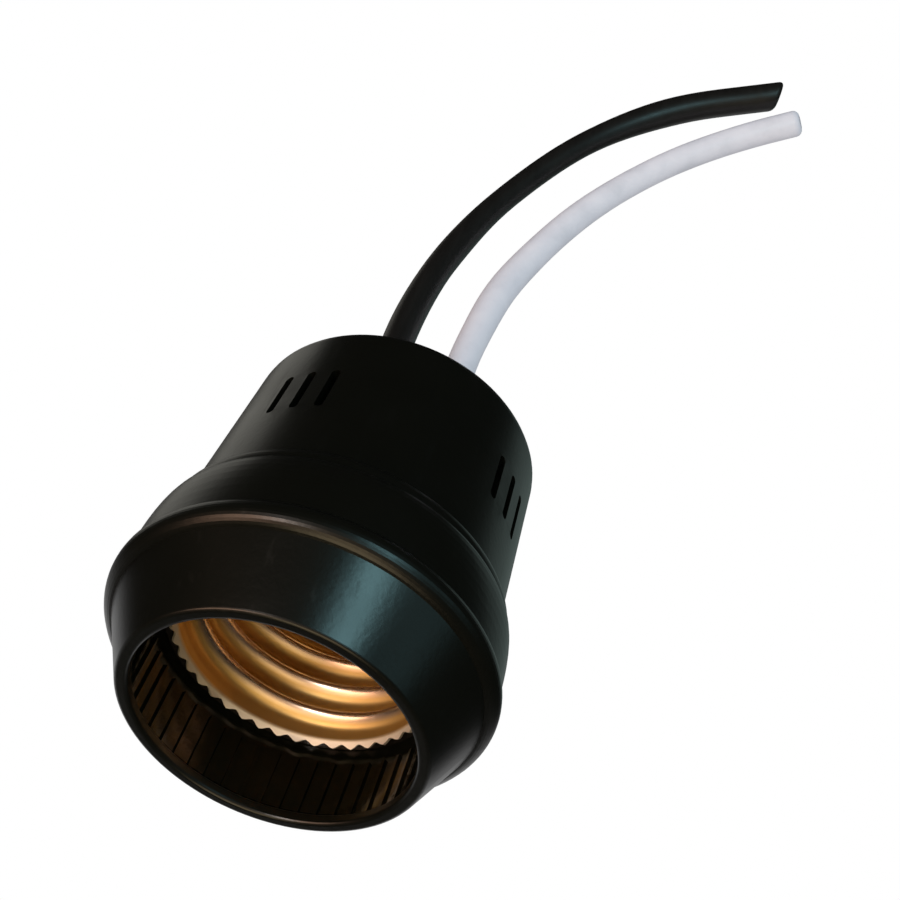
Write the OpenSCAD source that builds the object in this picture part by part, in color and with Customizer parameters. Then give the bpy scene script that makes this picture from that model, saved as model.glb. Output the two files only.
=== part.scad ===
// Pendant lamp socket: a black moulded housing round a rolled brass screw shell,
// with a sprung centre contact and two stiff flying leads.
// The origin is the centre of the mouth, and +Z runs up the axis to the leads.

/* [Screw shell] */
// Pitch of the lamp thread
thread_pitch = 3.63; // [3.5:0.01:3.7]
// Inside radius over the crests of the rolled turns
crest_r = 12.15; // [12.05:0.05:12.3]
// Height of a rolled turn
thread_depth = 1.15; // [0.9:0.05:1.25]
// Number of rolled turns
thread_turns = 5; // [4:1:6]
// Share of its depth that the last turn keeps, where the thread runs out
run_out = 0.6; // [0.4:0.1:0.8]
// Thickness of the brass sheet
sheet = 0.35; // [0.3:0.05:0.45]
// How far the rim flares out past the shell
rim_flare = 0.7; // [0.4:0.1:0.8]
// Height of the flared rim
rim_h = 0.8; // [0.6:0.1:1.2]
// Number of saw teeth round the rim
tooth_count = 42; // [30:1:48]
// Depth of the cut between two teeth
tooth_h = 0.4; // [0.3:0.1:0.6]
// Gap between the two surfaces where the wall turns into the floor
floor_turn = 0.1; // [0.05:0.05:0.3]
// Brass left between the floor's opening and the rivet heads
floor_land = 0.6; // [0.4:0.1:1]

/* [Core] */
// Wall of the sleeve round the screw shell
core_wall = 1.1; // [1:0.1:1.6]
// Thickness of the floor that carries the contacts
core_floor_t = 3; // [2.5:0.1:4]
// Depth of the pocket that lets the tongue move back
pocket_depth = 1.2; // [1.1:0.1:1.5]
// Floor left between that pocket and the shanks of the rivets
pocket_land = 2.35; // [2:0.05:3]
// Thickness of the clamped flange
flange_t = 1.3; // [1:0.1:2]
// Height of the barrier between the two lugs
barrier_h = 4.5; // [2:0.5:6]
// Thickness of that barrier
barrier_t = 1.2; // [0.8:0.1:1.6]

/* [Collar] */
// Height of the upper ends of the ribs
rib_top = 8; // [6:0.5:12]
// How far the brass rim stands back behind the ribs
rim_back = 1.1; // [0.7:0.1:1.5]
// How far the mouth's lip stands in from the ribbed wall
lip_in = 0.5; // [0.2:0.1:0.8]
// Height of the lip
lip_h = 1.1; // [0.8:0.1:1.5]
// Wall at the mouth
mouth_wall = 1.5; // [1.3:0.05:3]
// Radius of the rim's outer edge
rim_round = 0.5; // [0.3:0.1:0.7]
// Height of the cone from the mouth to the bead
cone_h = 7.2; // [6:0.1:12]
// How far the cone widens from the mouth to the bead
cone_widen = 3.25; // [2:0.05:5]
// Radius of the rolled bead's section
bead_r = 1.65; // [1.2:0.05:2]
// How far the bead stands out past the cone
bead_proud = 1.4; // [1:0.05:1.6]
// Height of the collar's spigot inside the ring
spigot_h = 4.95; // [3:0.05:5]
// Wall of the spigot
spigot_wall = 1.55; // [1.2:0.05:2]
// Number of fine ribs in the mouth
rib_count = 46; // [20:1:60]
// Width of a rib
rib_w = 0.4; // [0.3:0.05:0.6]
// How far a rib stands in from the wall
rib_h = 0.25; // [0.15:0.05:0.35]

/* [Ring above the bead] */
// Wall of the ring at its foot
ring_wall = 3.35; // [2.6:0.05:4]
// Height of the ring
ring_h = 7.45; // [6:0.05:8]
// Height of the ring's straight foot
ring_foot_h = 1; // [0.5:0.1:2]
// How far the ring's shoulder draws in
ring_draw = 0.95; // [0.5:0.05:1.5]

/* [Cap] */
// Step from the ring in to the cap's foot
cap_step = 0.1; // [0:0.05:0.5]
// Height of the cap's foot
foot_h = 0.5; // [0.3:0.1:1.5]
// Height of the round shoulder over the foot
foot_round = 1.4; // [0.8:0.1:2]
// How far that shoulder draws in
foot_draw = 1.1; // [0.5:0.1:1.4]
// Height of the tapered wall above the shoulder
cap_wall_h = 21.3; // [18:0.1:28]
// How far the tapered wall draws in on its way up
cap_taper = 1.2; // [0.4:0.1:1.5]
// Width of the round at the cap's top edge
top_round_w = 3.4; // [2:0.1:5]
// Height of that round
top_round_h = 2.1; // [1.5:0.1:3]
// Thickness of the cap's top
cap_top_t = 2.3; // [1.8:0.1:3]
// Step in the cap's bore that stands over the core
chamber_step = 0.75; // [0.4:0.05:1]
// Radius of the raised boss that the leads come out of
boss_r = 8.2; // [8:0.1:9.5]
// Height of that boss
boss_h = 1.6; // [1:0.1:2.5]
// Wall round the boss's recess
boss_wall = 1.3; // [1:0.1:1.5]
// Depth of that recess below the cap's top
recess_depth = 0.8; // [0.4:0.1:1.2]
// How far the sealing compound stays below the boss's rim
seal_down = 0.5; // [0.3:0.1:0.8]
// Height that the sealing compound is drawn up round a lead
seal_climb = 0.9; // [0.5:0.1:1.2]

/* [Vent slots] */
// Number of groups of slots round the cap
slot_groups = 4; // [2:1:4]
// Number of slots in a group
slots_per_group = 3; // [2:1:3]
// Angle of the first group
slot_angle = 50; // [45:1:55]
// Angle between two slots of a group
slot_step = 9.5; // [8:0.5:12]
// Width of a slot
slot_w = 1.0; // [0.6:0.1:1.2]
// Height of a slot
slot_h = 6.6; // [5:0.1:8]
// Height of a group's lower end above the cap's shoulder
slot_rise = 8.1; // [6:0.1:9]

/* [Fixings] */
// How far the circle of rivets and screws lies inside the thread's crests
fixing_in = 2.85; // [2.7:0.05:3]
// Radius of a rivet's shank
rivet_r = 1.2; // [1:0.1:1.4]
// Radius of a rivet's head
rivet_head_r = 1.8; // [1.6:0.1:1.9]
// Height of a rivet's head
rivet_head_h = 0.7; // [0.5:0.1:0.9]
// Radius of a core screw's shank
screw_r = 1.25; // [1:0.05:1.4]
// Radius of a core screw's head
screw_head_r = 2.3; // [2:0.1:2.5]
// Height of a core screw's head
screw_head_h = 1.4; // [1:0.1:1.6]
// How far a core screw reaches into its pillar
screw_grip = 6.5; // [4:0.5:8]
// Wall of the pillar round a core screw
pillar_wall = 1.3; // [1:0.1:1.5]
// Slot in a core screw's head
slot_cut = 0.6; // [0.4:0.1:0.7]
// Thickness of the fibre disc
disc_t = 0.5; // [0.3:0.1:0.7]

/* [Centre contact] */
// Thickness of the spring strip
strip_t = 0.4; // [0.3:0.05:0.45]
// Width of the spring strip
strip_w = 5.6; // [4.8:0.1:6]
// Drop of the tongue's tip below its root
tongue_drop = 2.8; // [2.4:0.1:3.2]
// Reach of the tongue past the axis
tongue_past = 0.6; // [0:0.1:1]
// Radius of the tongue's bow
bow_r = 3; // [2.6:0.1:3.4]
// How far the strip reaches past the middle of its rivet, and a lug past its own
strip_past = 2.2; // [2:0.1:2.5]
// Bare strip between the rivet's head and the tongue's bend
strip_bare = 0.4; // [0.3:0.1:0.8]

/* [Leads] */
// Radius of a lead over its covering
lead_r = 1.85; // [1.4:0.05:1.9]
// Compound left between a lead's hole and the wall of the recess
lead_edge = 0.55; // [0.4:0.05:0.7]
// Radius of the bunched copper strands
conductor_r = 0.85; // [0.6:0.05:0.9]
// Thickness of a lug's plate
lug_t = 0.6; // [0.5:0.1:0.8]
// Width of a lug's plate
lug_w = 4.6; // [4.2:0.1:5]
// Wall of a lug's crimped barrel
barrel_wall = 0.4; // [0.3:0.05:0.5]
// Height of a lug's crimped barrel
barrel_h = 4.2; // [3:0.1:4.5]
// Bare length of strands between barrel and covering
bare_h = 1.2; // [0.5:0.1:1.5]

/* [Clearances] */
// Gap round pieces that plug into each other
fit_gap = 0.15; // [0.1:0.05:0.2]
// Height of the seams that show between the mouldings
seam = 0.1; // [0.05:0.05:0.2]
// Gap round a shank or a lead in its hole
hole_gap = 0.15; // [0.1:0.05:0.2]
// Play between stacked pieces
seat_gap = 0.05; // [0.02:0.01:0.08]

/* [Hidden] */

eps = 0.01;
arc_steps = 8;
smooth = 96;
small = 48;

// Colours of the real finishes
phenolic = "#141717";
core_black = "#1a1512";
brass = "#c79a4b";
spring_brass = "#c9a66b";
tinned = "#b9bcbf";
copper = "#b06a3b";
fibre = "#8f5a3c";
steel = "#a7aaad";
pitch_black = "#101010";
pvc_black = "#17181a";
pvc_white = "#dddce4";

// Radii from the lamp's thread outwards
major_r = crest_r + thread_depth;
shell_r = major_r + sheet;
rim_r = shell_r + rim_flare;
core_bore_r = shell_r + fit_gap;
core_r = core_bore_r + core_wall;
bore_r = core_r + fit_gap;
chamber_r = bore_r - chamber_step;
fixing_r = crest_r - fixing_in;
floor_hole_r = fixing_r - rivet_head_r - floor_land;
pocket_r = fixing_r - rivet_r - hole_gap - pocket_land;
lip_r = bore_r - lip_in;
mouth_r = lip_r + mouth_wall;
cone_r = mouth_r + cone_widen;
bead_ring_r = cone_r + bead_proud - bead_r;
spigot_r = bore_r + spigot_wall;
ring_bore_r = spigot_r + fit_gap;
ring_r = ring_bore_r + ring_wall;
ring_top_r = ring_r - ring_draw;
foot_r = ring_top_r - cap_step;
wall_foot_r = foot_r - foot_draw;
wall_top_r = wall_foot_r - cap_taper;

// Where round the bead's section its surface starts, from the cone, and ends, under the ring
bead_foot_a = -80;
bead_top_a = 45;

// Heights from the mouth upwards
bead_z = cone_h + bead_r;
collar_top = bead_z + bead_r * sin(bead_top_a);
ring_z = collar_top + seam;
ring_top = ring_z + ring_h;
cap_z = ring_top + seam;
flange_z = collar_top + spigot_h + seat_gap;
cap_spigot_z = flange_z + flange_t + seat_gap;
wall_z = cap_z + foot_h + foot_round;
wall_top = wall_z + cap_wall_h;
cap_top = wall_top + top_round_h;
boss_top = cap_top + boss_h;
chamber_top = cap_top - cap_top_t;
recess_z = cap_top - recess_depth;
rim_z = rib_top + rim_back;
thread_z = rim_z + rim_h;
shell_floor_z = thread_z + thread_turns * thread_pitch + floor_turn;
floor_z = shell_floor_z + sheet;
core_top = floor_z + core_floor_t;
chamber_z = core_top + 4 * seat_gap;
disc_z = shell_floor_z - disc_t;
slot_z = wall_z + slot_rise;

// Spring strip and its hinge line
foot_x = -fixing_r + rivet_head_r + strip_bare;
hinge_x = foot_x + strip_t / 2 + seat_gap;
hinge_z = floor_z - strip_t / 2;
tip_z = hinge_z - tongue_drop;
notch_w = strip_w + 1;

// Lugs and leads
barrel_r = conductor_r + seat_gap + barrel_wall;
barrel_top = core_top + lug_t + barrel_h;
lead_z = barrel_top + bare_h;
lead_hole_r = lead_r + 2 * seat_gap + hole_gap;
plug_r = boss_r - boss_wall - seat_gap;
lead_x = plug_r - lead_hole_r - lead_edge;
plate_end = fixing_r + strip_past;

// Angles of the two core screws and the four rivets
screw_left_a = 135;
screw_right_a = 315;
line_a = 180;
neutral_a = 0;
front_a = 270;
back_a = 90;

// Points of an arc about [cx, cy], from angle a0 to a1
function arc(cx, cy, r, a0, a1, n = arc_steps) =
    [for (i = [0:n]) let (a = a0 + (a1 - a0) * i / n) [cx + r * cos(a), cy + r * sin(a)]];

// Quarter of an ellipse that starts upright at [r + w, z] and ends level at [r, z + h]
function shoulder(r, z, w, h, n = arc_steps) =
    [for (i = [0:n]) let (a = 90 * i / n) [r + w * cos(a), z + h * sin(a)]];

// Inside radius of a rolled turn at angle a, with level crests and roots
turn_steps = 12;
function wave_r(a, depth) = major_r - depth * (1 - cos(a) / cos(180 / turn_steps)) / 2;

module turned(points, sides = smooth) {
    rotate_extrude($fn = sides) polygon(points);
}

module at_fixing(angle) {
    rotate([0, 0, angle]) translate([fixing_r, 0, 0]) children();
}

// Moulded mouth ring with its cone, bead, ribbed bore and spigot
module collar() {
    outline = concat(
        arc(lip_r + 0.4, 0.4, 0.4, 180, 270, 4),
        arc(mouth_r - rim_round, rim_round, rim_round, 270, 335, 5),
        arc(bead_ring_r, bead_z, bead_r, bead_foot_a, bead_top_a, 12),
        [[spigot_r, collar_top],
         [spigot_r, collar_top + spigot_h], [bore_r, collar_top + spigot_h],
         [bore_r, lip_h + lip_in], [lip_r, lip_h]]
    );
    color(phenolic) {
        turned(outline);
        for (i = [0:rib_count - 1])
            rotate([0, 0, (i + 0.5) * 360 / rib_count])
                translate([bore_r - rib_h, -rib_w / 2, lip_h + eps])
                    cube([2 * rib_h, rib_w, rib_top - lip_h - eps]);
    }
}

// Plain rounded ring that joins collar and cap
module lower_shell() {
    outline = concat(
        [[ring_bore_r, ring_z], [ring_r, ring_z]],
        shoulder(ring_top_r, ring_z + ring_foot_h, ring_draw, ring_h - ring_foot_h),
        [[ring_bore_r, ring_top]]
    );
    color(phenolic) turned(outline);
}

module slot_groups() {
    for (g = [0:slot_groups - 1])
        for (s = [0:slots_per_group - 1])
            rotate([0, 0, slot_angle + g * 360 / slot_groups
                    + (s - (slots_per_group - 1) / 2) * slot_step])
                translate([chamber_r - 0.5, 0, slot_z + slot_w / 2]) {
                    translate([0, -slot_w / 2, 0]) cube([foot_r, slot_w, slot_h - slot_w]);
                    for (z = [0, slot_h - slot_w])
                        translate([0, 0, z]) rotate([0, 90, 0])
                            cylinder(h = foot_r, r = slot_w / 2, $fn = small);
                }
}

// Tall housing with its stepped foot, vent slots, lead holes and recessed boss
module cap() {
    outline = concat(
        [[bore_r, cap_spigot_z], [spigot_r, cap_spigot_z], [spigot_r, cap_z],
         [foot_r, cap_z]],
        shoulder(wall_foot_r, cap_z + foot_h, foot_draw, foot_round),
        shoulder(wall_top_r - top_round_w, wall_top, top_round_w, top_round_h),
        arc(boss_r + 0.4, cap_top + 0.4, 0.4, 270, 180, 4),
        arc(boss_r - 0.4, boss_top - 0.4, 0.4, 0, 90, 4),
        [[boss_r - boss_wall, boss_top], [boss_r - boss_wall, recess_z],
         [0, recess_z], [0, chamber_top], [chamber_r, chamber_top],
         [chamber_r, chamber_z], [bore_r, chamber_z]]
    );
    color(phenolic) difference() {
        union() {
            turned(outline);
            for (a = [screw_left_a, screw_right_a])
                at_fixing(a) translate([0, 0, core_top + seat_gap])
                    cylinder(h = chamber_top - core_top, r = screw_r + pillar_wall, $fn = small);
        }
        slot_groups();
        for (x = [-lead_x, lead_x])
            translate([x, 0, chamber_top - 1])
                cylinder(h = cap_top_t + 2, r = lead_hole_r, $fn = small);
        for (a = [screw_left_a, screw_right_a])
            at_fixing(a) translate([0, 0, core_top - 1])
                cylinder(h = screw_grip + 2, r = screw_r + hole_gap / 2, $fn = small);
    }
}

// Insulating carrier: a sleeve round the brass and a floor under the contacts
module core() {
    outline = [
        [core_bore_r, thread_z + seat_gap], [core_r, thread_z + seat_gap], [core_r, flange_z],
        [spigot_r, flange_z], [spigot_r, flange_z + flange_t],
        [core_r, flange_z + flange_t], [core_r, core_top], [0, core_top],
        [0, floor_z + pocket_depth], [pocket_r, floor_z + pocket_depth],
        [pocket_r, floor_z], [core_bore_r, floor_z]
    ];
    barrier_end = fixing_r - rivet_head_r - 0.3;
    color(core_black) difference() {
        union() {
            turned(outline);
            translate([-barrier_t / 2, -barrier_end, core_top - 0.5])
                cube([barrier_t, 2 * barrier_end, barrier_h + 0.5]);
        }
        for (a = [line_a, neutral_a, front_a, back_a])
            at_fixing(a) translate([0, 0, floor_z - 1])
                cylinder(h = core_floor_t + 2, r = rivet_r + hole_gap, $fn = small);
        for (a = [screw_left_a, screw_right_a])
            at_fixing(a) translate([0, 0, floor_z - 1])
                cylinder(h = core_floor_t + 2, r = screw_r + hole_gap, $fn = small);
    }
}

module rim_teeth() {
    pitch_at_rim = 2 * PI * rim_r / tooth_count;
    for (i = [0:tooth_count - 1])
        rotate([0, 0, (i + 0.5) * 360 / tooth_count])
            translate([shell_r - 1, 0, rim_z])
                rotate([90, 0, 90])
                    linear_extrude(height = rim_flare + 2)
                        polygon([[-pitch_at_rim / 2, -0.08], [0, tooth_h],
                                 [pitch_at_rim / 2, -0.08]]);
}

// Rolled brass shell: flared saw-toothed rim, wavy wall and pierced floor
module screw_shell() {
    steps = turn_steps * thread_turns - 1;
    inner = [for (i = [0:steps])
             let (turn = (i + 0.5) / turn_steps,
                  depth = turn < thread_turns - 1 ? thread_depth : run_out * thread_depth)
             [wave_r(360 * turn, depth), thread_z + turn * thread_pitch]];
    outer = [for (p = inner) [p[0] + sheet, p[1]]];
    outline = concat(
        [[rim_r - sheet, rim_z]], inner,
        [[major_r, shell_floor_z], [floor_hole_r, shell_floor_z], [floor_hole_r, floor_z - eps],
         [shell_r, floor_z - eps]],
        [for (i = [steps:-1:0]) outer[i]],
        [[rim_r, rim_z]]
    );
    color(brass) difference() {
        turned(outline);
        rim_teeth();
        translate([-shell_r - 1, -notch_w / 2, disc_z])
            cube([shell_r + 1, notch_w, 2]);
        for (a = [neutral_a, front_a, back_a])
            at_fixing(a) translate([0, 0, shell_floor_z - 1])
                cylinder(h = 3, r = rivet_r + hole_gap, $fn = small);
        for (a = [screw_left_a, screw_right_a])
            at_fixing(a) translate([0, 0, shell_floor_z - 1])
                cylinder(h = 3, r = screw_r + hole_gap, $fn = small);
    }
}

// Fibre disc that keeps the tongue off the shell's floor
module fibre_disc() {
    color(fibre) difference() {
        translate([0, 0, disc_z])
            cylinder(h = disc_t - seat_gap, r = crest_r - 2 * fit_gap, $fn = smooth);
        translate([-crest_r - 1, -notch_w / 2, disc_z - 1])
            cube([crest_r + 1 + pocket_r, notch_w, 3]);
        for (a = [neutral_a, front_a, back_a])
            at_fixing(a) translate([0, 0, disc_z - 1])
                cylinder(h = 3, r = rivet_head_r + hole_gap, $fn = small);
        for (a = [screw_left_a, screw_right_a])
            at_fixing(a) translate([0, 0, disc_z - 1])
                cylinder(h = 3, r = screw_r + hole_gap, $fn = small);
    }
}

// Clamped end of the spring strip, under the line rivet
module contact_foot() {
    color(spring_brass) difference() {
        translate([-plate_end, -strip_w / 2, floor_z - strip_t])
            cube([plate_end + foot_x, strip_w, strip_t]);
        at_fixing(line_a) translate([0, 0, floor_z - 2])
            cylinder(h = 4, r = rivet_r + hole_gap, $fn = small);
    }
}

// Free arm of the spring strip, bowed down to touch the lamp's centre contact
module contact_tongue() {
    arm_a = atan2(strip_t - tongue_drop, tongue_past - hinge_x - bow_r / 2);
    outline = concat(
        arc(tongue_past, tip_z + bow_r, bow_r - strip_t / 2, 270 + arm_a, 312, 6),
        arc(tongue_past, tip_z + bow_r, bow_r + strip_t / 2, 312, 270 + arm_a, 6),
        arc(hinge_x, hinge_z, strip_t / 2, 270 + arm_a, 90 + arm_a, 6)
    );
    color(spring_brass)
        translate([0, strip_w / 2, 0]) rotate([90, 0, 0])
            linear_extrude(height = strip_w) polygon(outline);
}

// Rivet through what lies between the two heights
module rivet(low, high) {
    translate([0, 0, low - rivet_head_h])
        cylinder(h = rivet_head_h, r1 = rivet_head_r - 0.3, r2 = rivet_head_r, $fn = small);
    translate([0, 0, low - eps])
        cylinder(h = high - low + 2 * eps, r = rivet_r, $fn = small);
    translate([0, 0, high])
        cylinder(h = rivet_head_h, r1 = rivet_head_r, r2 = rivet_head_r - 0.4, $fn = small);
}

module line_rivet() {
    color(brass) at_fixing(line_a) rivet(floor_z - strip_t, core_top + lug_t);
}

module neutral_rivet() {
    color(brass) at_fixing(neutral_a) rivet(shell_floor_z, core_top + lug_t);
}

module shell_rivet_front() {
    color(brass) at_fixing(front_a) rivet(shell_floor_z, core_top);
}

module shell_rivet_back() {
    color(brass) at_fixing(back_a) rivet(shell_floor_z, core_top);
}

// Crimp lug on the left side: a plate under the rivet and an upright barrel
module lug() {
    color(tinned) difference() {
        union() {
            translate([-plate_end, -lug_w / 2, core_top])
                cube([plate_end - lead_x, lug_w, lug_t]);
            translate([-lead_x, 0, core_top])
                cylinder(h = lug_t + barrel_h, r = barrel_r, $fn = small);
        }
        translate([-lead_x, 0, core_top + lug_t])
            cylinder(h = barrel_h + 1, r = conductor_r + seat_gap, $fn = small);
        at_fixing(line_a) translate([0, 0, core_top - 1])
            cylinder(h = lug_t + 2, r = rivet_r + hole_gap, $fn = small);
    }
}

module line_lug() {
    lug();
}

module neutral_lug() {
    rotate([0, 0, 180]) lug();
}

// Pan-head screw from inside the shell up into the cap's pillar
module core_screw() {
    translate([0, 0, disc_z - screw_head_h])
        difference() {
            cylinder(h = screw_head_h, r1 = screw_head_r - 0.5, r2 = screw_head_r, $fn = small);
            translate([-screw_head_r - 1, -slot_cut / 2, -1])
                cube([2 * screw_head_r + 2, slot_cut, 1 + slot_cut]);
        }
    translate([0, 0, disc_z - eps])
        cylinder(h = core_top + screw_grip - disc_z, r = screw_r, $fn = small);
}

module core_screw_left() {
    color(steel) at_fixing(screw_left_a) core_screw();
}

module core_screw_right() {
    color(steel) at_fixing(screw_right_a) core_screw();
}

// Bunched strands between a lug's barrel and the lead's covering
module conductor(x) {
    color(copper) translate([x, 0, core_top + lug_t])
        cylinder(h = lead_z - core_top - lug_t, r = conductor_r, $fn = small);
}

module black_conductor() {
    conductor(-lead_x);
}

module white_conductor() {
    conductor(lead_x);
}

// Sealing compound in the boss's recess, drawn up a little round each lead
module seal_plug() {
    plug_h = boss_top - recess_z - seal_down;
    color(pitch_black) difference() {
        union() {
            translate([0, 0, recess_z]) cylinder(h = plug_h, r = plug_r, $fn = smooth);
            for (x = [-lead_x, lead_x])
                translate([x, 0, recess_z + plug_h - eps])
                    cylinder(h = seal_climb, r1 = lead_hole_r + lead_edge - hole_gap,
                             r2 = lead_hole_r + 0.2, $fn = small);
        }
        for (x = [-lead_x, lead_x])
            translate([x, 0, recess_z - 1])
                cylinder(h = plug_h + 3, r = lead_hole_r, $fn = small);
    }
}

// Routes of the two leads, chosen by hand: straight up, then bent over to the side
function lead_start(x) = [[x, 0, lead_z], [x, 0, 42], [x, 0, 47]];
black_bend = [
    [-4.5, 0, 54], [-5, 0.5, 61.5], [-5, 0.5, 69], [-4.4, 0, 77], [-3, -0.5, 85],
    [-1.2, -1.5, 92.6], [1.8, -3, 100.6], [5.3, -5, 108.2], [9.4, -7, 114.6],
    [14.5, -9.5, 120], [20.2, -12.4, 123.8], [25.8, -14.8, 126.2], [32, -17.8, 128.3]
];
white_bend = [
    [4, 0, 54], [3.4, 0, 61.5], [3.8, -0.5, 69], [4.3, -1, 76.5], [6.2, -1.5, 84.6],
    [8.8, -3, 92.6], [11.9, -4.5, 100], [16, -6.5, 107], [20.6, -9, 112.9],
    [25.6, -11.5, 117.8], [30.6, -14, 121.8], [36, -17, 124.8]
];
bend_side = [0.454, 0.891, 0];
lead_sides = 8;

// Smooth curve that starts and ends at the first and last point
function spline_point(p, k, t) =
    (pow(1 - t, 3) * p[k] + (3 * pow(t, 3) - 6 * t * t + 4) * p[k + 1]
     + (-3 * pow(t, 3) + 3 * t * t + 3 * t + 1) * p[k + 2] + pow(t, 3) * p[k + 3]) / 6;
function lead_route(points) =
    let (last = len(points) - 1,
         p = concat([points[0], points[0]], points, [points[last], points[last]]),
         spans = len(p) - 3)
    [for (k = [0:spans]) k < spans ? spline_point(p, k, 0) : spline_point(p, spans - 1, 1)];
function unit(v) = v / norm(v);
function lead_ring(route, i) =
    let (n = len(route) - 1,
         along = i == 0 ? [0, 0, 1] : unit(route[min(i + 1, n)] - route[i - 1]),
         across = unit(bend_side - (bend_side * along) * along),
         up = cross(along, across))
    [for (j = [0:lead_sides - 1]) let (a = 360 * j / lead_sides)
     route[i] + lead_r * (cos(a) * across + sin(a) * up)];

module lead(points) {
    route = lead_route(points);
    rings = len(route);
    skin = [for (i = [0:rings - 2]) for (j = [0:lead_sides - 1])
            let (a = i * lead_sides + j, b = i * lead_sides + (j + 1) % lead_sides)
            [a, a + lead_sides, b + lead_sides, b]];
    ends = [[for (j = [0:lead_sides - 1]) j],
            [for (j = [lead_sides - 1:-1:0]) (rings - 1) * lead_sides + j]];
    polyhedron([for (i = [0:rings - 1]) each lead_ring(route, i)], concat(skin, ends));
}

module black_lead() {
    color(pvc_black) lead(concat(lead_start(-lead_x), black_bend));
}

module white_lead() {
    color(pvc_white) lead(concat(lead_start(lead_x), white_bend));
}

collar();
lower_shell();
cap();
core();
screw_shell();
fibre_disc();
contact_foot();
contact_tongue();
line_rivet();
neutral_rivet();
shell_rivet_front();
shell_rivet_back();
line_lug();
neutral_lug();
core_screw_left();
core_screw_right();
black_conductor();
white_conductor();
seal_plug();
black_lead();
white_lead();
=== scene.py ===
# %% [markdown]
# A pendant lamp socket. A black moulded housing in three rings holds a rolled brass screw
# shell, and a black and a white lead come out of its top. The solids come from the packed
# part, and this lesson gives them their finishes and models what a solid can't show well:
# the thread's helix, the coverings and strands of the leads, and the sealing compound.

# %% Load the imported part
import math
import bpy
from mathutils import Matrix, Quaternion, Vector


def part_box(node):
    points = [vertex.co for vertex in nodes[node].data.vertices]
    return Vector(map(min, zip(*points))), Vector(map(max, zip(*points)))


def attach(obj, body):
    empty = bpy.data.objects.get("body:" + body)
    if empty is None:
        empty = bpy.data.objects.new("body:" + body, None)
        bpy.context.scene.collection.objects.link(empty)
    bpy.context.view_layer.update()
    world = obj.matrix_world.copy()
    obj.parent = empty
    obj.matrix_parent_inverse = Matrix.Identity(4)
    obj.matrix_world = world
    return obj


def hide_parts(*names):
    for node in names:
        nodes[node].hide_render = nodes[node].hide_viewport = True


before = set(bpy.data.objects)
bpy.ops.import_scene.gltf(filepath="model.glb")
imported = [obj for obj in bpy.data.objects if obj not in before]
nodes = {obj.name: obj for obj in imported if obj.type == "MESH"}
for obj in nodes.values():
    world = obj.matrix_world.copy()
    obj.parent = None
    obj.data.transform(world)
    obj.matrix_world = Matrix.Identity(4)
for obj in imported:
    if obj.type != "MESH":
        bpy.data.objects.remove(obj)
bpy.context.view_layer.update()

MM = 0.001

# %% [markdown]
# The camera comes first. The photograph looks up at the socket from below its mouth, so the
# camera stands low and in front, climbs steeply, and leans to one side. These four values came
# from lining up the rims of the real object, which are circles, with their outlines in the picture.

# %% Camera
EYE = Vector((0, -120.235, -83.675)) * MM
HEADING, CLIMB, LEAN = 3.136, 47.101, 21.601
LENS = 60
SHIFT_RIGHT, SHIFT_UP = -0.0036, 0.0016

heading, climb = math.radians(HEADING), math.radians(CLIMB)
look = Vector((math.sin(heading) * math.cos(climb), math.cos(heading) * math.cos(climb), math.sin(climb)))
bpy.ops.object.camera_add(location=EYE)
camera = bpy.context.object
camera.rotation_mode = "QUATERNION"
camera.rotation_quaternion = look.to_track_quat("-Z", "Y") @ Quaternion((0, 0, 1), math.radians(LEAN))
camera.data.lens = LENS
camera.data.shift_x, camera.data.shift_y = SHIFT_RIGHT, SHIFT_UP
camera.data.clip_start, camera.data.clip_end = 1 * MM, 10
bpy.context.scene.camera = camera
print("camera stands", round(EYE.length / MM), "mm from the mouth")

# %% [markdown]
# Everything that is modelled here starts as a primitive and is shaped in edit mode. An
# operator works on all that is selected, so each piece starts from an empty selection.

# %% Helpers for modelling
def clear_selection():
    if bpy.context.mode != "OBJECT":
        bpy.ops.object.mode_set(mode="OBJECT")
    bpy.ops.object.select_all(action="DESELECT")


def pick(obj):
    clear_selection()
    obj.select_set(True)
    bpy.context.view_layer.objects.active = obj


def name_piece(name):
    piece = bpy.context.object
    piece.name = piece.data.name = name
    return piece


def select_faces(piece, wanted):
    """Leaves the faces selected whose centre and normal answer yes to wanted."""
    bpy.ops.object.mode_set(mode="EDIT")
    bpy.ops.mesh.select_mode(type="FACE")
    bpy.ops.mesh.select_all(action="DESELECT")
    bpy.ops.object.mode_set(mode="OBJECT")
    for face in piece.data.polygons:
        face.select = wanted(face.center, face.normal)
    bpy.ops.object.mode_set(mode="EDIT")


def smooth(piece, angle=35):
    pick(piece)
    bpy.ops.object.shade_smooth_by_angle(angle=math.radians(angle))
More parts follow.
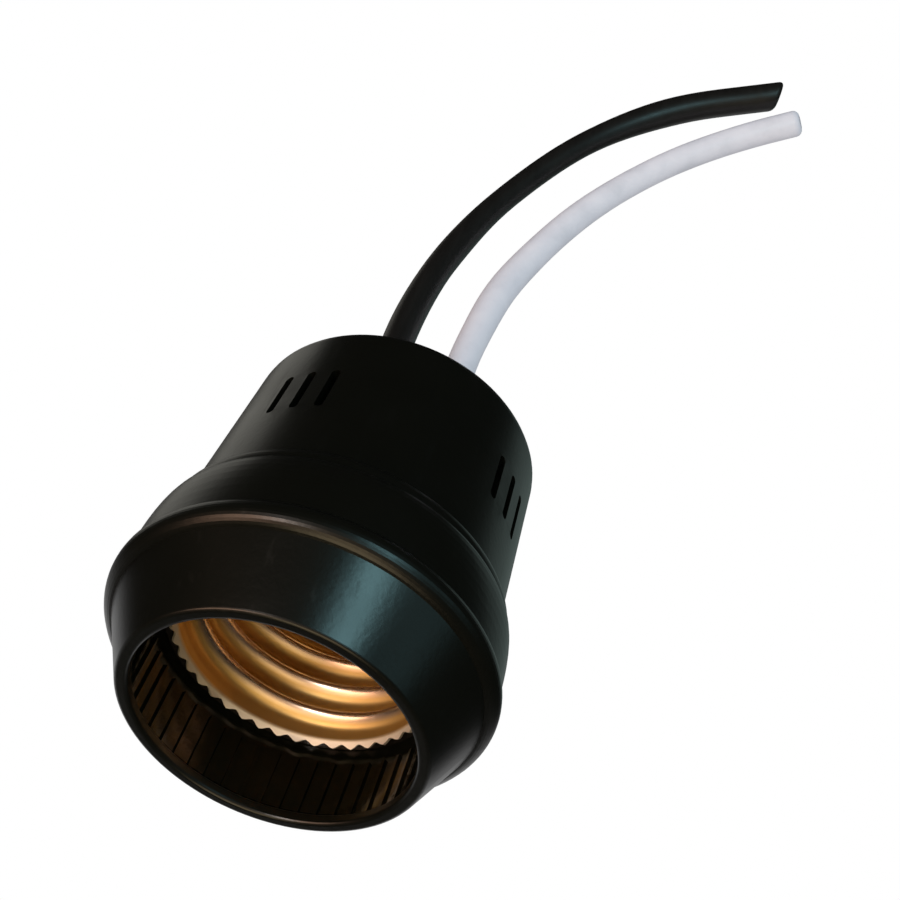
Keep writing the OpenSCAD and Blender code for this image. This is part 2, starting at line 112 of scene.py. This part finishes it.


# %% [markdown]
# Each lead follows a route of given points: straight up out of the housing, then bent
# over to one side by the hand that made it, stiff enough to keep that bend. A B-spline runs
# smoothly past the points, as the solid's own route does, so the round covering lies where
# the plain solid lay.

# %% Routes of the leads
LEAD_R = 1.85
LEAD_X = (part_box("white_conductor")[0].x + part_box("white_conductor")[1].x) / 2 / MM
LEAD_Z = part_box("black_conductor")[1].z / MM
BLACK_BEND = [
    (-4.5, 0, 54), (-5, 0.5, 61.5), (-5, 0.5, 69), (-4.4, 0, 77), (-3, -0.5, 85),
    (-1.2, -1.5, 92.6), (1.8, -3, 100.6), (5.3, -5, 108.2), (9.4, -7, 114.6),
    (14.5, -9.5, 120), (20.2, -12.4, 123.8), (25.8, -14.8, 126.2), (32, -17.8, 128.3),
]
WHITE_BEND = [
    (4, 0, 54), (3.4, 0, 61.5), (3.8, -0.5, 69), (4.3, -1, 76.5), (6.2, -1.5, 84.6),
    (8.8, -3, 92.6), (11.9, -4.5, 100), (16, -6.5, 107), (20.6, -9, 112.9),
    (25.6, -11.5, 117.8), (30.6, -14, 121.8), (36, -17, 124.8),
]


def lead_points(x, bend, per_span=4):
    """Points of the B-spline past the chosen ones, which starts and ends on the end points."""
    chosen = [Vector(p) * MM for p in [(x, 0, LEAD_Z), (x, 0, 42), (x, 0, 47)] + bend]
    chosen = [chosen[0]] * 2 + chosen + [chosen[-1]] * 2
    points = []
    for a, b, c, d in zip(chosen, chosen[1:], chosen[2:], chosen[3:]):
        for step in range(per_span):
            t = step / per_span
            points.append(((1 - t) ** 3 * a + (3 * t ** 3 - 6 * t * t + 4) * b
                           + (-3 * t ** 3 + 3 * t * t + 3 * t + 1) * c + t ** 3 * d) / 6)
    return points + [chosen[-1]]


def run_length(points):
    return sum((b - a).length for a, b in zip(points, points[1:]))


def straight_end(points, straight=3.6):
    """The points of a route with its last few mm drawn straight, so that one cut crosses them."""
    return [p for p in points if (p - points[-1]).length > straight * MM] + [points[-1]]


routes = {"black": straight_end(lead_points(-LEAD_X, BLACK_BEND)), "white": straight_end(lead_points(LEAD_X, WHITE_BEND))}
for colour, route in routes.items():
    print(colour, "lead:", round(run_length(route) / MM, 1), "mm")

# %% [markdown]
# A curve with a round bevel is the natural tool for a cord: it stays round however it bends.
# The coverings are soft, though, and handling has left fuller and thinner stretches, so
# each point of the curve gets a radius of its own, a few percent to either side. The curve
# runs 2.5 mm past the lead's end and is made a mesh, so that its end can be cut off at a slant.

# %% Coverings of the leads
FULLNESS = {"black": (1.06, 1.10, 1.05, 0.93, 0.94, 1.12, 1.12), "white": (1.0, 1.05, 1.12, 1.06, 1.02, 1.03, 1.05)}


def fullness(colour, along):
    """How full a covering is, at a place from 0 at the housing to 1 at the cut end."""
    steps = FULLNESS[colour]
    place = along * (len(steps) - 1)
    step = min(int(place), len(steps) - 2)
    t = place - step
    t = t * t * (3 - 2 * t)
    return steps[step] * (1 - t) + steps[step + 1] * t


def covering(name, route, colour):
    clear_selection()
    bpy.ops.curve.primitive_nurbs_path_add(enter_editmode=False)
    line = name_piece(name)
    line.data.splines.clear()
    spline = line.data.splines.new("POLY")
    spline.points.add(len(route) - 1)
    hidden = sum(place.z < 48 * MM for place in route)
    for number, (point, place) in enumerate(zip(spline.points, route)):
        point.co = (*place, 1)
        point.radius = fullness(colour, max(number - hidden, 0) / (len(route) - 1 - hidden))
    spline.points[-1].co = (*(route[-1] + (route[-1] - route[-2]).normalized() * 2.5 * MM), 1)
    line.location = (0, 0, 0)
    line.data.dimensions = "3D"
    line.data.bevel_depth = LEAD_R * MM
    line.data.bevel_resolution = 8
    line.data.use_fill_caps = True
    pick(line)
    bpy.ops.object.convert(target="MESH")
    smooth(bpy.context.object, 50)
    return bpy.context.object


leads = {colour: covering(colour + "_covering", route, colour) for colour, route in routes.items()}

# %% [markdown]
# The leads were cut to length with pliers. The black one was cut at a slant and the white
# one nearly square, and the soft covering has drawn round at both edges. A plane cuts the
# tube through and closes it, a bevel rounds the edge, and the face is then inset and pushed
# in a little, to leave a well for the copper strands.

# %% Cut ends of the coverings
STRAND_R = 0.17
WELL_DEPTH = 0.4


def cut_end(lead, end, cut, rounding):
    pick(lead)
    bpy.ops.object.mode_set(mode="EDIT")
    bpy.ops.mesh.select_mode(type="FACE")
    bpy.ops.mesh.select_all(action="SELECT")
    bpy.ops.mesh.bisect(plane_co=end, plane_no=cut, use_fill=True, clear_outer=True)
    bpy.ops.mesh.bevel(offset=rounding * MM, segments=4, affect="EDGES")
    select_faces(lead, lambda centre, normal: normal.dot(cut) > 0.995 and (centre - end).dot(cut) > -0.01 * MM)
    bpy.ops.mesh.inset(thickness=max(LEAD_R - rounding - 5 * STRAND_R, 0.1) * MM)
    bpy.ops.mesh.extrude_region_move(TRANSFORM_OT_translate={"value": -cut * WELL_DEPTH * MM})
    bpy.ops.object.mode_set(mode="OBJECT")
    smooth(lead, 50)


def tip(colour, short, slant, rounding):
    """Where a lead ends in mm short of its route, and the direction its cut faces."""
    before, end = routes[colour][-2:]
    along = (end - before).normalized()
    end = end - along * short * MM
    cut = (along + Vector(slant)).normalized()
    cut_end(leads[colour], end, cut, rounding)
    return end - cut * WELL_DEPTH * 0.6 * MM, along, cut


tips = {"black": tip("black", 0.4, (0.15, 0.3, -0.3), 0.8), "white": tip("white", 0.2, (-0.06, -0.17, -0.35), 0.9)}

# %% [markdown]
# Nineteen copper wires lie in each well. One wire is modelled as a thin rod, and the others
# are copies of it with their own meshes. The same slanted plane that cut the covering cuts
# the whole bundle, a little deeper.

# %% Strands
def strand():
    """One wire along the vertical axis, with its middle at the origin."""
    clear_selection()
    bpy.ops.mesh.primitive_cylinder_add(vertices=12, radius=STRAND_R * MM, depth=4 * MM)
    return bpy.context.object


def bundle(name, end, along, cut):
    """Wires in a hexagon round a lead's axis, joined into one piece and cut through."""
    turn = along.to_track_quat("Z", "Y").to_matrix().to_4x4()
    rows = [((column + abs(row) % 2 / 2), row * math.sqrt(3) / 2) for row in range(-2, 3) for column in range(-3, 4)]
    places = [place for place in rows if math.hypot(*place) < 2.1]
    wires = [strand()]
    while len(wires) < len(places):
        pick(wires[0])
        bpy.ops.object.duplicate(linked=False)
        wires.append(bpy.context.object)
    clear_selection()
    for wire, (x, y) in zip(wires, places):
        aside = Vector((2 * STRAND_R * x, 2 * STRAND_R * y, 0)) * MM
        wire.data.transform(Matrix.Translation(end) @ turn @ Matrix.Translation(aside))
        wire.select_set(True)
    bpy.context.view_layer.objects.active = wires[0]
    bpy.ops.object.join()
    wires = name_piece(name)
    bpy.ops.object.mode_set(mode="EDIT")
    bpy.ops.mesh.select_all(action="SELECT")
    bpy.ops.mesh.bisect(plane_co=end, plane_no=cut, use_fill=True, clear_outer=True)
    bpy.ops.object.mode_set(mode="OBJECT")
    smooth(wires)
    return wires


for colour, lead in leads.items():
    wires = bundle(colour + "_strands", *tips[colour])
    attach(lead, "housing")
    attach(wires, "housing")
    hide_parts(colour + "_lead")
    colour + "_covering"
    route = routes[colour]
    tuple(route[0])
    round(run_length(route), 4)
    [tuple(p) for p in route]
    print(colour, "strands:", len(wires.data.polygons), "faces")

# %% [markdown]
# The brass shell is rolled from thin sheet, with the lamp's thread pressed into it and its
# rim stamped into saw teeth. The solid has plain rings for a thread, since a true helix
# would cost it thousands of faces, so the helix is made here. A circle of points at the rim
# is extruded upwards row by row. Each point then moves in or out on a wave that climbs one
# pitch in a turn, and the lowest row follows the teeth. Solidify gives the sheet its
# thickness at the end, on the outside, where the solid has it too.

# %% Rolled brass shell
(RIM_Z, FLOOR_Z), RIM_R = (corner.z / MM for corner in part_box("screw_shell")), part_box("screw_shell")[1].x / MM
SHEET, CREST_R, THREAD_DEPTH, PITCH = 0.35, 12.15, 1.15, 3.63
ROOT_R = CREST_R + THREAD_DEPTH
RIM_H, TOOTH_H, TEETH, TOOTH_BEND = 0.8, 0.42, 42, 0.25
THREAD_Z = RIM_Z + RIM_H
TOOTH_STEPS = (0, 0.25, 0.7, 1, 0.7, 0.25)
COLUMNS, ROWS = len(TOOTH_STEPS) * TEETH, 90
ROW_H = (FLOOR_Z - SHEET - RIM_Z) / ROWS
THREAD_START = 0.47
NOTCH_HALF, DISC_Z = 3.3, FLOOR_Z - SHEET - 0.5


def grown(height, over):
    """Grows smoothly from 0 to 1 over the given height."""
    t = min(max(height / over, 0), 1)
    return t * t * (3 - 2 * t)


def wall_r(angle, z):
    """Inner radius of the wall in mm, at an angle round it and a height."""
    if z < THREAD_Z:
        return ROOT_R + (RIM_R - SHEET - ROOT_R) * ((THREAD_Z - z) / RIM_H) ** 1.3
    depth = THREAD_DEPTH * grown(z - THREAD_Z - 0.3, 2.0) * grown(FLOOR_Z - SHEET - z, 2.2)
    wave = (1 - math.cos(math.tau * (z - THREAD_Z) / PITCH - angle - THREAD_START)) / 2
    return ROOT_R - depth * wave ** 1.5


clear_selection()
bpy.ops.mesh.primitive_circle_add(vertices=COLUMNS, radius=ROOT_R * MM, location=(0, 0, RIM_Z * MM))
shell = name_piece("threaded_shell")
shell.data.transform(shell.matrix_world)
shell.location = (0, 0, 0)
bpy.ops.object.mode_set(mode="EDIT")
for row in range(ROWS):
    bpy.ops.mesh.extrude_edges_move(TRANSFORM_OT_translate={"value": (0, 0, ROW_H * MM)})
bpy.ops.object.mode_set(mode="OBJECT")
for vertex in shell.data.vertices:
    x, y, z = vertex.co / MM
    angle = math.atan2(y, x)
    bent = 0
    if z < RIM_Z + 0.5 * ROW_H:
        column = round(angle / math.tau * COLUMNS)
        tooth = round(column / len(TOOTH_STEPS)) % TEETH
        step = TOOTH_STEPS[column % len(TOOTH_STEPS)]
        worn = 0.1 + 0.1 * math.sin(2.6 * tooth)
        z += TOOTH_H * (step + (1 - step) * worn)
        bent = TOOTH_BEND * (1 - step) * max(math.sin(3.7 * tooth), 0)
    elif z < RIM_Z + 3.5 * ROW_H:
        z = RIM_Z + TOOTH_H + 0.06 + (z - RIM_Z - ROW_H) * 0.4
    r = wall_r(angle, z) - bent
    vertex.co = Vector((r * math.cos(angle), r * math.sin(angle), z)) * MM
print("shell's wall:", len(shell.data.polygons), "faces")

# %% [markdown]
# The wall's top edge, which is still selected, is drawn inwards into the floor that the
# rivets hold. A notch is cut through the floor for the contact's foot: two planes cut the
# faces along its sides, and what lies between them is deleted.

# %% Shell's floor and notch
pick(shell)
bpy.ops.object.mode_set(mode="EDIT")
bpy.ops.mesh.select_mode(type="EDGE")
radius = ROOT_R
while radius > 7:
    shrink = 1 - min(1.1, radius - 6.9) / radius
    bpy.ops.mesh.extrude_edges_move()
    bpy.ops.transform.resize(value=(shrink, shrink, 1), center_override=(0, 0, FLOOR_Z * MM))
    radius *= shrink
for side in (NOTCH_HALF, -NOTCH_HALF):
    select_faces(shell, lambda centre, normal: centre.z > (DISC_Z - 0.3) * MM and centre.x < 0)
    bpy.ops.mesh.bisect(plane_co=(0, side * MM, 0), plane_no=(0, 1, 0))
select_faces(shell, lambda centre, normal: centre.z > DISC_Z * MM and centre.x < 0
             and abs(centre.y) < NOTCH_HALF * MM)
bpy.ops.mesh.delete(type="FACE")
bpy.ops.mesh.select_all(action="SELECT")
bpy.ops.mesh.normals_make_consistent(inside=True)
bpy.ops.object.mode_set(mode="OBJECT")
inwards = sum(face.normal.x * face.center.x + face.normal.y * face.center.y < 0 for face in shell.data.polygons)
print("faces that look at the axis:", inwards, "of", len(shell.data.polygons))
sheet = shell.modifiers.new("sheet", "SOLIDIFY")
sheet.thickness = SHEET * MM
sheet.offset = -1
pick(shell)
bpy.ops.object.modifier_apply(modifier="sheet")
smooth(shell, 65)
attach(shell, "housing")
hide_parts("screw_shell")

# %% [markdown]
# The sealing compound is poured hot round the leads and sets with a skin that has crept up
# the leads and the rim of its recess. A low drum gets rings of points on its top by inset
# after inset, and the points near a lead or the rim are lifted.

# %% Poured sealing compound
SEAL_CLIMB = 0.9
seal_low, seal_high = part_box("seal_plug")
SEAL_R, SEAL_Z = seal_high.x / MM, seal_high.z / MM - SEAL_CLIMB
clear_selection()
bpy.ops.mesh.primitive_cylinder_add(vertices=96, radius=SEAL_R * MM, depth=(SEAL_Z - seal_low.z / MM) * MM,
                                    location=(0, 0, (SEAL_Z * MM + seal_low.z) / 2))
seal = name_piece("poured_seal")
seal.data.transform(seal.matrix_world)
seal.location = (0, 0, 0)
select_faces(seal, lambda centre, normal: normal.z > 0.9)
for ring in range(20):
    bpy.ops.mesh.inset(thickness=0.33 * MM)
bpy.ops.object.mode_set(mode="OBJECT")
for vertex in seal.data.vertices:
    x, y, z = vertex.co / MM
    if z > SEAL_Z - 0.01:
        near = min(math.hypot(x - side * LEAD_X, y) for side in (-1, 1)) - LEAD_R
        lift = SEAL_CLIMB * math.exp(-max(near, 0) / 0.42) + 0.25 * math.exp((math.hypot(x, y) - SEAL_R) / 0.4)
        lift += 0.06 * math.sin(1.3 * x + 0.8) * math.cos(1.1 * y)
        vertex.co.z = (SEAL_Z + min(max(lift, 0), SEAL_CLIMB)) * MM
smooth(seal, 60)
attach(seal, "housing")
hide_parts("seal_plug")
print("seal:", len(seal.data.polygons), "faces")

# %% [markdown]
# Shader maths reads best as plain sums. This class wraps an output of a node, so that an
# expression on values, such as 1 - mask * 0.5, adds its Math nodes by itself.

# %% Values and finishes
class Value:
    def __init__(self, finish, socket):
        self.finish, self.socket = finish, socket

    def maths(self, operation, *numbers):
        return self.finish.node("ShaderNodeMath", {"operation": operation}, dict(enumerate(numbers)))

    def __add__(self, other): return self.maths("ADD", self, other)
    def __radd__(self, other): return self.maths("ADD", other, self)
    def __sub__(self, other): return self.maths("SUBTRACT", self, other)
    def __rsub__(self, other): return self.maths("SUBTRACT", other, self)
    def __mul__(self, other): return self.maths("MULTIPLY", self, other)
    def __rmul__(self, other): return self.maths("MULTIPLY", other, self)
    def __truediv__(self, other): return self.maths("DIVIDE", self, other)
    def __pow__(self, other): return self.maths("POWER", self, other)
    def above(self, level): return self.maths("GREATER_THAN", self, level)
    def sine(self): return self.maths("SINE", self)


class Finish:
    """One material. Its fixed numbers are set on the shader, and node() adds whatever varies."""

    def __init__(self, name, **fixed):
        self.material = bpy.data.materials.new(name)
        self.material.use_nodes = True
        self.tree = self.material.node_tree
        self.shader = self.tree.nodes["Principled BSDF"]
        for socket, number in fixed.items():
            self.set(socket.replace("_", " "), number)

    def plug(self, socket, value):
        if isinstance(value, Value):
            self.tree.links.new(value.socket, socket)
        else:
            socket.default_value = value

    def set(self, socket, value):
        self.plug(self.shader.inputs[socket], value)

    def node(self, kind, settings=None, inputs=None, output=0):
        made = self.tree.nodes.new(kind)
        for name, setting in (settings or {}).items():
            if name == "stops":
                while len(made.color_ramp.elements) < len(setting):
                    made.color_ramp.elements.new(0.5)
                for stop, (place, colour) in zip(made.color_ramp.elements, setting):
                    stop.position, stop.color = place, colour
            else:
                setattr(made, name, setting)
        for name, value in (inputs or {}).items():
            self.plug(made.inputs[name], value)
        return Value(self, made.outputs[output])

    def place(self):
        """Where a point lies on the object, in metres."""
        return self.node("ShaderNodeTexCoord", output="Object")

    def along(self, axis):
        """Where a point lies along one axis (0 for X, 1 for Y, 2 for Z), in mm."""
        return self.node("ShaderNodeSeparateXYZ", inputs={"Vector": self.place()}, output=axis) / MM

    def from_axis(self):
        """How far a point lies from the socket's axis, in mm."""
        x, y = self.along(0), self.along(1)
        return (x * x + y * y) ** 0.5

    def noise(self, size, detail=3, roughness=0.5, stretch=(1, 1, 1)):
        """Noise from 0 to 1 whose grains are about size mm across, longer where stretch is small."""
        grain = self.node("ShaderNodeMapping", inputs={"Vector": self.place(), "Scale": stretch})
        return self.node("ShaderNodeTexNoise", inputs={
            "Vector": grain, "Scale": 1 / (size * MM), "Detail": detail, "Roughness": roughness})

    def between(self, low, high, factor):
        """A colour between two, by a factor from 0 to 1."""
        return self.node("ShaderNodeMix", {"data_type": "RGBA"}, {
            "Factor": factor, 6: low, 7: high}, output=2)

    def ramp(self, factor, *stops):
        return self.node("ShaderNodeValToRGB", {"stops": stops}, {"Fac": factor})

    def bump(self, height, depth, strength=1.0):
        """Bump of depth mm where height runs from 0 to 1."""
        self.set("Normal", self.node("ShaderNodeBump", inputs={
            "Height": height, "Distance": depth * MM, "Strength": strength}))


def paint(obj, finish):
    obj.data.materials.clear()
    obj.data.materials.append(finish.material)


# %% [markdown]
# The housing is a hard moulded plastic, nearly black with a hint of green. Close up it has
# a faint orange-peel skin from the mould, its gloss is a little uneven from handling, and
# a few hairline scuffs catch the light.

# %% Moulded black
LIP_Z = 1.2


def moulded_black(name, colour, duller, roughness, polished_r=0):
    finish = Finish(name, Specular_IOR_Level=0.45, IOR=1.5)
    handled = finish.noise(9, detail=4)
    scuffs = finish.noise(1.2, detail=5, stretch=(1, 1, 0.12))
    scuffed = finish.ramp(scuffs, (0.62, (0, 0, 0, 1)), (0.72, (1, 1, 1, 1)))
    finish.set("Base Color", finish.between(colour, duller, handled * 0.7 + scuffed * 0.2))
    bore = (1 - finish.from_axis().above(polished_r)) * finish.along(2).above(LIP_Z)
    finish.set("Roughness", (roughness + handled * 0.12 + scuffed * 0.06) * (1 - bore * 0.55))
    finish.bump(finish.noise(0.55, detail=2) + finish.noise(3.5, detail=2) * 0.6, 0.012)
    return finish


housing_black = moulded_black("housing_black", (0.0018, 0.0020, 0.0010, 1), (0.0032, 0.0034, 0.0020, 1), 0.24, 15.1)
core_black = moulded_black("core_black", (0.0060, 0.0048, 0.0036, 1), (0.0095, 0.0075, 0.0055, 1), 0.16)
for name in ("collar", "lower_shell", "cap"):
    paint(nodes[name], housing_black)
paint(nodes["core"], core_black)

# %% [markdown]
# Rolled brass is bright but never even: the rollers leave fine lines that run round it. In the
# thread the crests are smoother and painted paler, as a painted highlight, and the hollows a deeper gold, as a
# painted reflection of the brass facing them.

# %% Brass
def brass(name, bright, tarnished, roughness, lines=(1, 1, 14)):
    finish = Finish(name, Metallic=1.0)
    cloud = finish.noise(5, detail=5, roughness=0.6)
    rolled = finish.noise(2.2, detail=6, roughness=0.65, stretch=lines)
    finish.set("Base Color", finish.between(bright, tarnished, cloud * 0.8 + rolled * 0.3))
    finish.set("Roughness", roughness + cloud * 0.10 + rolled * 0.12)
    finish.bump(rolled + finish.noise(0.4) * 0.4, 0.010)
    return finish


def rolled_shell():
    """The thread's brass: a painted highlight makes the crests paler, a painted reflection makes the hollows golden,
    and a painted highlight makes the rougher stamped rim whitish.
    """
    finish = Finish("shell_brass", Metallic=1.0)
    # The thread's depth. It makes the hollows rougher, and it mixes the crests' painted highlight with the hollows'
    # painted reflection.
    hollow_and_sheen = finish.ramp((finish.from_axis() - CREST_R) / THREAD_DEPTH, (0.20, (0, 0, 0, 1)), (0.65, (1, 1, 1, 1)))
    cloud = finish.noise(6, detail=4, roughness=0.55)
    lines = finish.noise(1.6, detail=5, roughness=0.6, stretch=(1, 1, 10))
    # The stamped rim and its teeth are rougher, and they are painted whitish as a highlight.
    stamped_rim_and_glint = finish.ramp(finish.along(2) - RIM_Z, (0.55, (1, 1, 1, 1)), (1.0, (0, 0, 0, 1)))
    # Painted light: the crests are painted a pale cream as a highlight, and the hollows a deeper gold as a
    # reflection of the brass facing them. rolled mixes the two by the thread's depth.
    painted_crest_highlight = finish.between((0.94, 0.79, 0.66, 1), (0.84, 0.65, 0.51, 1), cloud)
    golden_brass_and_reflection = finish.between((0.86, 0.64, 0.27, 1), (0.76, 0.52, 0.20, 1), cloud * 0.8 + lines * 0.2)
    rolled = finish.between(painted_crest_highlight, golden_brass_and_reflection, hollow_and_sheen)
    finish.set("Base Color", finish.between(rolled, (0.90, 0.86, 0.78, 1), stamped_rim_and_glint))
    finish.set("Roughness", 0.22 + hollow_and_sheen * 0.22 + stamped_rim_and_glint * 0.15 + cloud * 0.06 + lines * 0.06)
    finish.bump(lines, 0.004)
    return finish


shell_brass = rolled_shell()
strip_brass = brass("strip_brass", (0.86, 0.68, 0.38, 1), (0.68, 0.48, 0.24, 1), 0.20, (1, 8, 1))
rivet_brass = brass("rivet_brass", (0.80, 0.62, 0.36, 1), (0.58, 0.42, 0.22, 1), 0.24, (1, 1, 1))
tinned = brass("tinned", (0.70, 0.69, 0.66, 1), (0.55, 0.53, 0.50, 1), 0.28, (1, 8, 1))
steel = brass("steel", (0.62, 0.63, 0.64, 1), (0.48, 0.49, 0.50, 1), 0.24, (1, 1, 6))
strands = brass("strands", (0.87, 0.49, 0.30, 1), (0.60, 0.26, 0.13, 1), 0.25, (1, 1, 0.2))
paint(shell, shell_brass)
for name in ("contact_foot", "contact_tongue"):
    paint(nodes[name], strip_brass)
for name in ("line_rivet", "neutral_rivet", "shell_rivet_front", "shell_rivet_back"):
    paint(nodes[name], rivet_brass)
for name in ("line_lug", "neutral_lug"):
    paint(nodes[name], tinned)
for name in ("core_screw_left", "core_screw_right"):
    paint(nodes[name], steel)
for piece in ("black_conductor", "white_conductor", "black_strands", "white_strands"):
    paint(bpy.data.objects[piece] if piece in bpy.data.objects else nodes[piece], strands)

# %% [markdown]
# Vulcanised fibre is pressed paper: reddish brown, matt, and flecked with lighter threads.
# The sealing compound is poured, so it is smooth and black with soft dimples.

# %% Fibre and sealing compound
fibre = Finish("fibre", Roughness=0.7)
threads = fibre.noise(0.5, detail=6, roughness=0.7, stretch=(1, 0.3, 1))
fibre.set("Base Color", fibre.between((0.20, 0.07, 0.035, 1), (0.36, 0.17, 0.09, 1), threads))
fibre.bump(threads, 0.04)
paint(nodes["fibre_disc"], fibre)

compound = Finish("sealing_compound", Specular_IOR_Level=0.5)
dimples = compound.noise(2.5, detail=3)
compound.set("Base Color", compound.between((0.008, 0.008, 0.009, 1), (0.020, 0.019, 0.018, 1), dimples))
compound.set("Roughness", 0.30 + dimples * 0.25)
compound.bump(dimples, 0.12)
paint(seal, compound)

# %% [markdown]
# The coverings are soft plastic drawn over the strands. The black one has a satin gloss
# with fine lines along it. The white one is a cool white with a touch of lavender, and it
# carries the faint grey marks of handling.

# %% Coverings
black_cover = Finish("black_covering", Specular_IOR_Level=0.45)
drawn = black_cover.noise(1.0, detail=4, stretch=(1, 1, 0.1))
black_cover.set("Base Color", black_cover.between((0.0036, 0.0033, 0.0030, 1), (0.0095, 0.0088, 0.0080, 1), drawn))
black_cover.set("Roughness", 0.36 + drawn * 0.15)
black_cover.bump(drawn, 0.02)
paint(leads["black"], black_cover)

white_cover = Finish("white_covering", Specular_IOR_Level=0.4)
marks = white_cover.noise(4, detail=5, roughness=0.6)
white_cover.set("Base Color", white_cover.ramp(
    marks, (0.30, (0.50, 0.505, 0.57, 1)), (0.50, (0.55, 0.55, 0.62, 1)), (0.80, (0.60, 0.595, 0.66, 1))))
white_cover.set("Roughness", 0.40 + marks * 0.15)
white_cover.bump(white_cover.noise(0.8, detail=3), 0.015)
paint(leads["white"], white_cover)

# %% [markdown]
# The stage is a pale floor under the mouth. The photograph looks up at the socket, so the
# floor is only there for rays that come down on it: seen from below it is clear. The
# backdrop is white, and soft lamps stand where the photograph's highlights say they stood.

# %% Floor
bpy.ops.mesh.primitive_plane_add(size=4, location=(0, 0, -0.2 * MM))
floor = name_piece("floor")
floor.data.transform(floor.matrix_world)
floor.location = (0, 0, 0)
floor.data.materials.append(bpy.data.materials.new("pale_floor"))
floor.active_material.use_nodes = True
tree = floor.active_material.node_tree
tree.nodes.clear()
surface = tree.nodes.new("ShaderNodeOutputMaterial")
choice = tree.nodes.new("ShaderNodeMixShader")
clear = tree.nodes.new("ShaderNodeBsdfTransparent")
pale = tree.nodes.new("ShaderNodeBsdfDiffuse")
pale.inputs["Color"].default_value = (0.92, 0.92, 0.92, 1)
ray = tree.nodes.new("ShaderNodeLightPath")
side = tree.nodes.new("ShaderNodeNewGeometry")
seen = tree.nodes.new("ShaderNodeMath")
seen.operation = "SUBTRACT"
seen.use_clamp = True
tree.links.new(ray.outputs["Is Camera Ray"], seen.inputs[0])
tree.links.new(side.outputs["Backfacing"], seen.inputs[1])
tree.links.new(seen.outputs[0], choice.inputs["Fac"])
tree.links.new(clear.outputs[0], choice.inputs[1])
tree.links.new(pale.outputs[0], choice.inputs[2])
tree.links.new(choice.outputs[0], surface.inputs["Surface"])

# %% [markdown]
# The world is white for the camera, and soft white for matt surfaces, so that their colours
# come out as they are written. Gloss sees the white backdrop behind the socket and a dark
# room in front of it, which keeps the black moulding black.

# %% World
ROOM_LIGHT, ROOM_GLOSS = 0.75, 0.015
world = bpy.data.worlds.new("studio")
bpy.context.scene.world = world
world.use_nodes = True
tree = world.node_tree
tree.nodes.clear()


def sky_node(kind, settings=None, inputs=None):
    made = tree.nodes.new(kind)
    for name, setting in (settings or {}).items():
        setattr(made, name, setting)
    for name, value in (inputs or {}).items():
        if isinstance(value, bpy.types.NodeSocket):
            tree.links.new(value, made.inputs[name])
        else:
            made.inputs[name].default_value = value
    return made


ray = sky_node("ShaderNodeLightPath").outputs
direction = sky_node("ShaderNodeTexCoord").outputs["Generated"]
axes = sky_node("ShaderNodeSeparateXYZ", inputs={"Vector": direction}).outputs
above_floor = sky_node("ShaderNodeMapRange", {"interpolation_type": "SMOOTHSTEP"}, {
    "Value": axes["Z"], "From Min": -0.45, "From Max": -0.10}).outputs["Result"]
behind = sky_node("ShaderNodeMapRange", {"interpolation_type": "SMOOTHSTEP"}, {
    "Value": axes["Y"], "From Min": 0.60, "From Max": 1.0, "To Max": 1.0}).outputs["Result"]
backdrop = sky_node("ShaderNodeMath", {"operation": "MULTIPLY_ADD"}, {
    0: above_floor, 1: behind, 2: ROOM_GLOSS}).outputs[0]
mirrored = sky_node("ShaderNodeMath", {"operation": "MAXIMUM"}, {
    0: ray["Is Glossy Ray"], 1: ray["Is Transmission Ray"]}).outputs[0]
soft = sky_node("ShaderNodeMath", {"operation": "MULTIPLY_ADD"}, {
    0: ray["Is Diffuse Ray"], 1: ROOM_LIGHT, 2: ray["Is Camera Ray"]}).outputs[0]
strength = sky_node("ShaderNodeMath", {"operation": "MULTIPLY_ADD"}, {0: mirrored, 1: backdrop, 2: soft}).outputs[0]
background = sky_node("ShaderNodeBackground", inputs={"Color": (1, 1, 1, 1), "Strength": strength}).outputs[0]
sky_node("ShaderNodeOutputWorld", inputs={"Surface": background})

# %% [markdown]
# Small soft lamps make the highlights. On a nearly black gloss they are all one sees of the
# form, so each stands where the real highlight says: a cool window in front, which lights a
# patch on the cone, a warm lamp low at the left, which draws the bead, and two lamps low in
# front, which shine up into the brass.

# %% Lamps
def soft_lamp(name, towards, distance, wide, high, watts, colour):
    """A lamp of wide by high metres in the given direction from the socket's middle, facing it."""
    middle = Vector((0, 0, 15)) * MM
    place = middle + Vector(towards).normalized() * distance
    clear_selection()
    bpy.ops.object.light_add(type="AREA", location=place)
    lamp = name_piece(name)
    lamp.data.shape = "ELLIPSE"
    lamp.data.size, lamp.data.size_y = wide, high
    lamp.data.energy = watts
    lamp.data.color = colour
    lamp.rotation_mode = "QUATERNION"
    lamp.rotation_quaternion = (middle - place).to_track_quat("-Z", "Y")
    return lamp


soft_lamp("front_window", (0.30, -0.93, -0.20), 0.6, 0.20, 0.16, 0.85, (0.48, 0.92, 1.0))
soft_lamp("cool_side", (0.80, -0.58, -0.10), 0.6, 0.35, 0.10, 0.08, (0.50, 0.93, 1.0))
soft_lamp("warm_left", (-0.68, -0.35, -0.64), 0.6, 0.44, 0.26, 1.3, (1.0, 0.60, 0.40))
soft_lamp("warm_floor", (-0.10, -0.62, -0.78), 0.5, 0.55, 0.45, 0.21, (1.0, 0.66, 0.38))
soft_lamp("under_mouth", (0, -0.20, -0.97), 0.4, 0.24, 0.24, 0.38, (1.0, 0.78, 0.46))
soft_lamp("low_key", (-0.50, -0.66, -0.56), 0.6, 0.11, 0.07, 0.60, (1.0, 0.94, 0.88))
soft_lamp("over_right", (0.5, 0.4, 0.76), 0.7, 0.5, 0.5, 0.15, (0.75, 1.0, 0.93))
soft_lamp("over_left", (-0.62, 0.36, 0.70), 0.7, 0.4, 0.4, 0.22, (1.0, 0.98, 0.88))
bpy.context.scene.view_settings.view_transform = "Standard"
